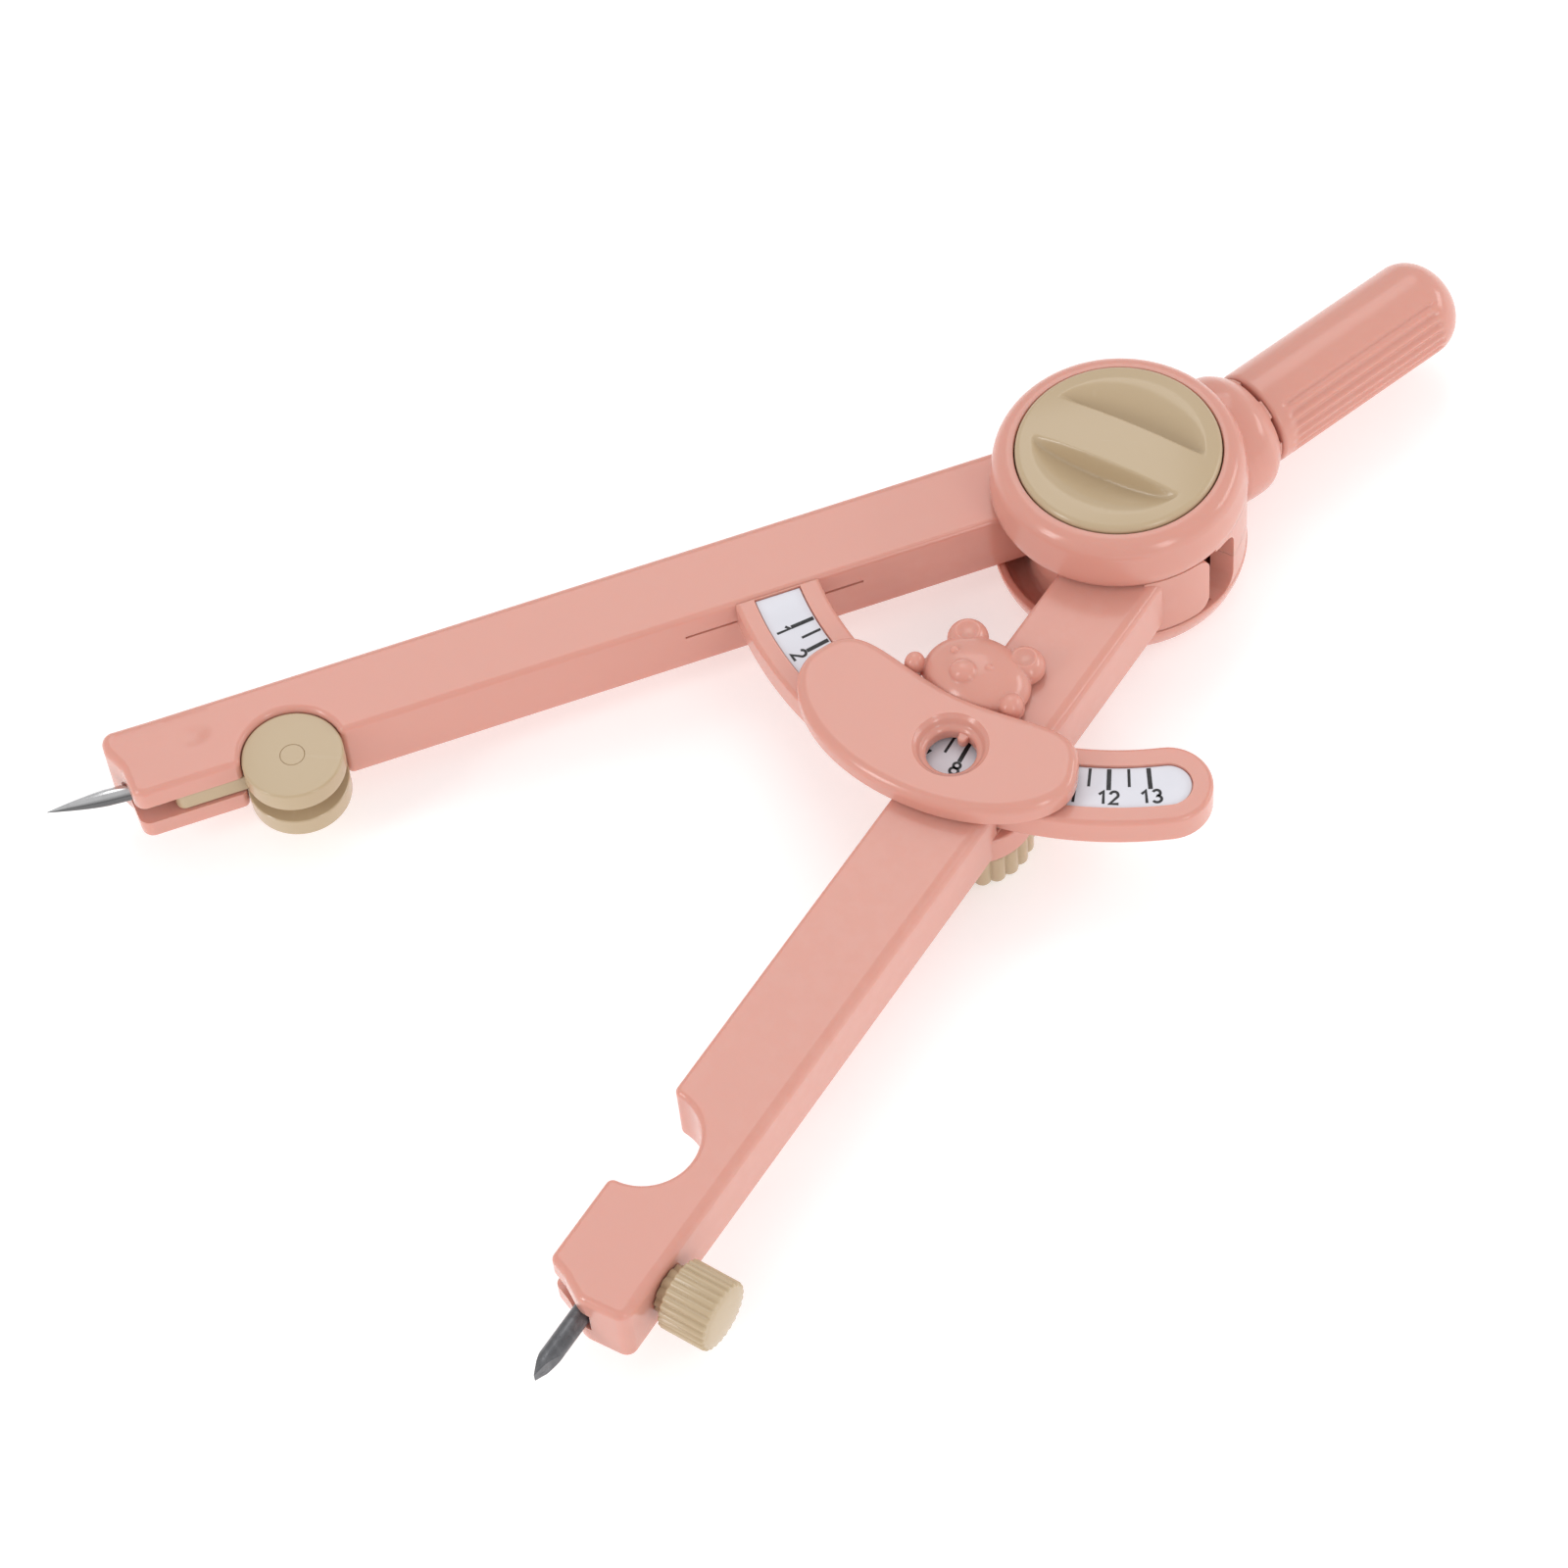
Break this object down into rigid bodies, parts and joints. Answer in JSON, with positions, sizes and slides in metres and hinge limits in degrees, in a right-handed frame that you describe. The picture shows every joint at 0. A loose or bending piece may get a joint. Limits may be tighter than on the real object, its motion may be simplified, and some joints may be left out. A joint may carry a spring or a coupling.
{
  "type": "drawing compass",
  "caption": "School drawing compass with a hinged head, a needle leg and a lead leg, a curved radius scale read through a round window, and a handle in line.",
  "frame": {"origin": "on the hub's pivot axis, at its flat base", "axes": "+Z along the pivot axis towards the hub knob, +Y along the handle away from the legs, the legs open about -Y"},
  "size_m": [0.0893, 0.1455, 0.0194],
  "materials": {
    "pink_plastic": "moulded, satin gloss",
    "cream_plastic": "moulded, satin gloss",
    "steel": "bright, ground",
    "brass": "turned",
    "nylon": "matte",
    "label": "printed strip",
    "graphite": "graphite lead"
  },
  "bodies": {
    "head": {"upper_housing": "pink_plastic", "lower_housing": "pink_plastic", "pivot_bolt": "steel", "upper_washer": "nylon", "middle_washer": "nylon", "lower_washer": "nylon", "spring_washer": "steel", "handle_spindle": "steel"},
    "hub_knob": {"hub_knob": "cream_plastic", "hub_knob_nut": "brass"},
    "grip": {"handle_grip": "pink_plastic", "grip_bush": "nylon"},
    "needle_leg": {"needle_leg": "pink_plastic", "arc_scale": "pink_plastic", "scale_label": "label"},
    "needle_holder": {"needle_holder": "cream_plastic", "needle": "steel"},
    "lead_leg": {"lead_leg": "pink_plastic", "window_cover": "pink_plastic", "bear_face": "pink_plastic", "lead_clamp_nut": "brass", "scale_lock_nut": "brass", "scale_lock_pad": "nylon"},
    "lead": {"lead": "graphite"},
    "lead_clamp": {"lead_clamp_knob": "cream_plastic", "lead_clamp_screw": "steel"},
    "scale_lock": {"scale_lock_knob": "cream_plastic", "scale_lock_screw": "steel"}
  },
  "joints": [
    {"name": "hub_knob_turn", "type": "hinge", "parent": "head", "child": "hub_knob", "pos_m": [0, 0, 0.0165], "axis": [0, 0, 1], "range_deg": [-60, 60]},
    {"name": "grip_spin", "type": "hinge", "parent": "head", "child": "grip", "pos_m": [0, 0.03, 0.0082], "axis": [0, 1, 0], "continuous": true},
    {"name": "needle_leg_hinge", "type": "hinge", "parent": "head", "child": "needle_leg", "pos_m": [0, 0, 0.0082], "axis": [0, 0, -1], "range_deg": [-18.7, 15.1]},
    {"name": "lead_leg_hinge", "type": "hinge", "parent": "head", "child": "lead_leg", "pos_m": [0, 0, 0.0082], "axis": [0, 0, 1], "range_deg": [-18.7, 15.1]},
    {"name": "needle_fold", "type": "hinge", "parent": "needle_leg", "child": "needle_holder", "pos_m": [-0.02788, -0.08098, 0.0082], "axis": [0, 0, 1], "range_deg": [0, 180]},
    {"name": "lead_slide", "type": "slide", "parent": "lead_leg", "child": "lead", "axis": [0.3251, -0.9457, 0], "range_m": [0, 0.004]},
    {"name": "lead_clamp_turn", "type": "hinge", "parent": "lead_leg", "child": "lead_clamp", "pos_m": [0.0435, -0.08656, 0.0082], "axis": [0.9457, 0.3251, 0], "range_deg": [0, 180]},
    {"name": "scale_lock_turn", "type": "hinge", "parent": "lead_leg", "child": "scale_lock", "pos_m": [0.01633, -0.03245, 0.003], "axis": [0, 0, -1], "range_deg": [0, 180]}
  ],
  "couplings": [
    {"joint": "lead_leg_hinge", "follows": "needle_leg_hinge", "ratio": 1}
  ]
}
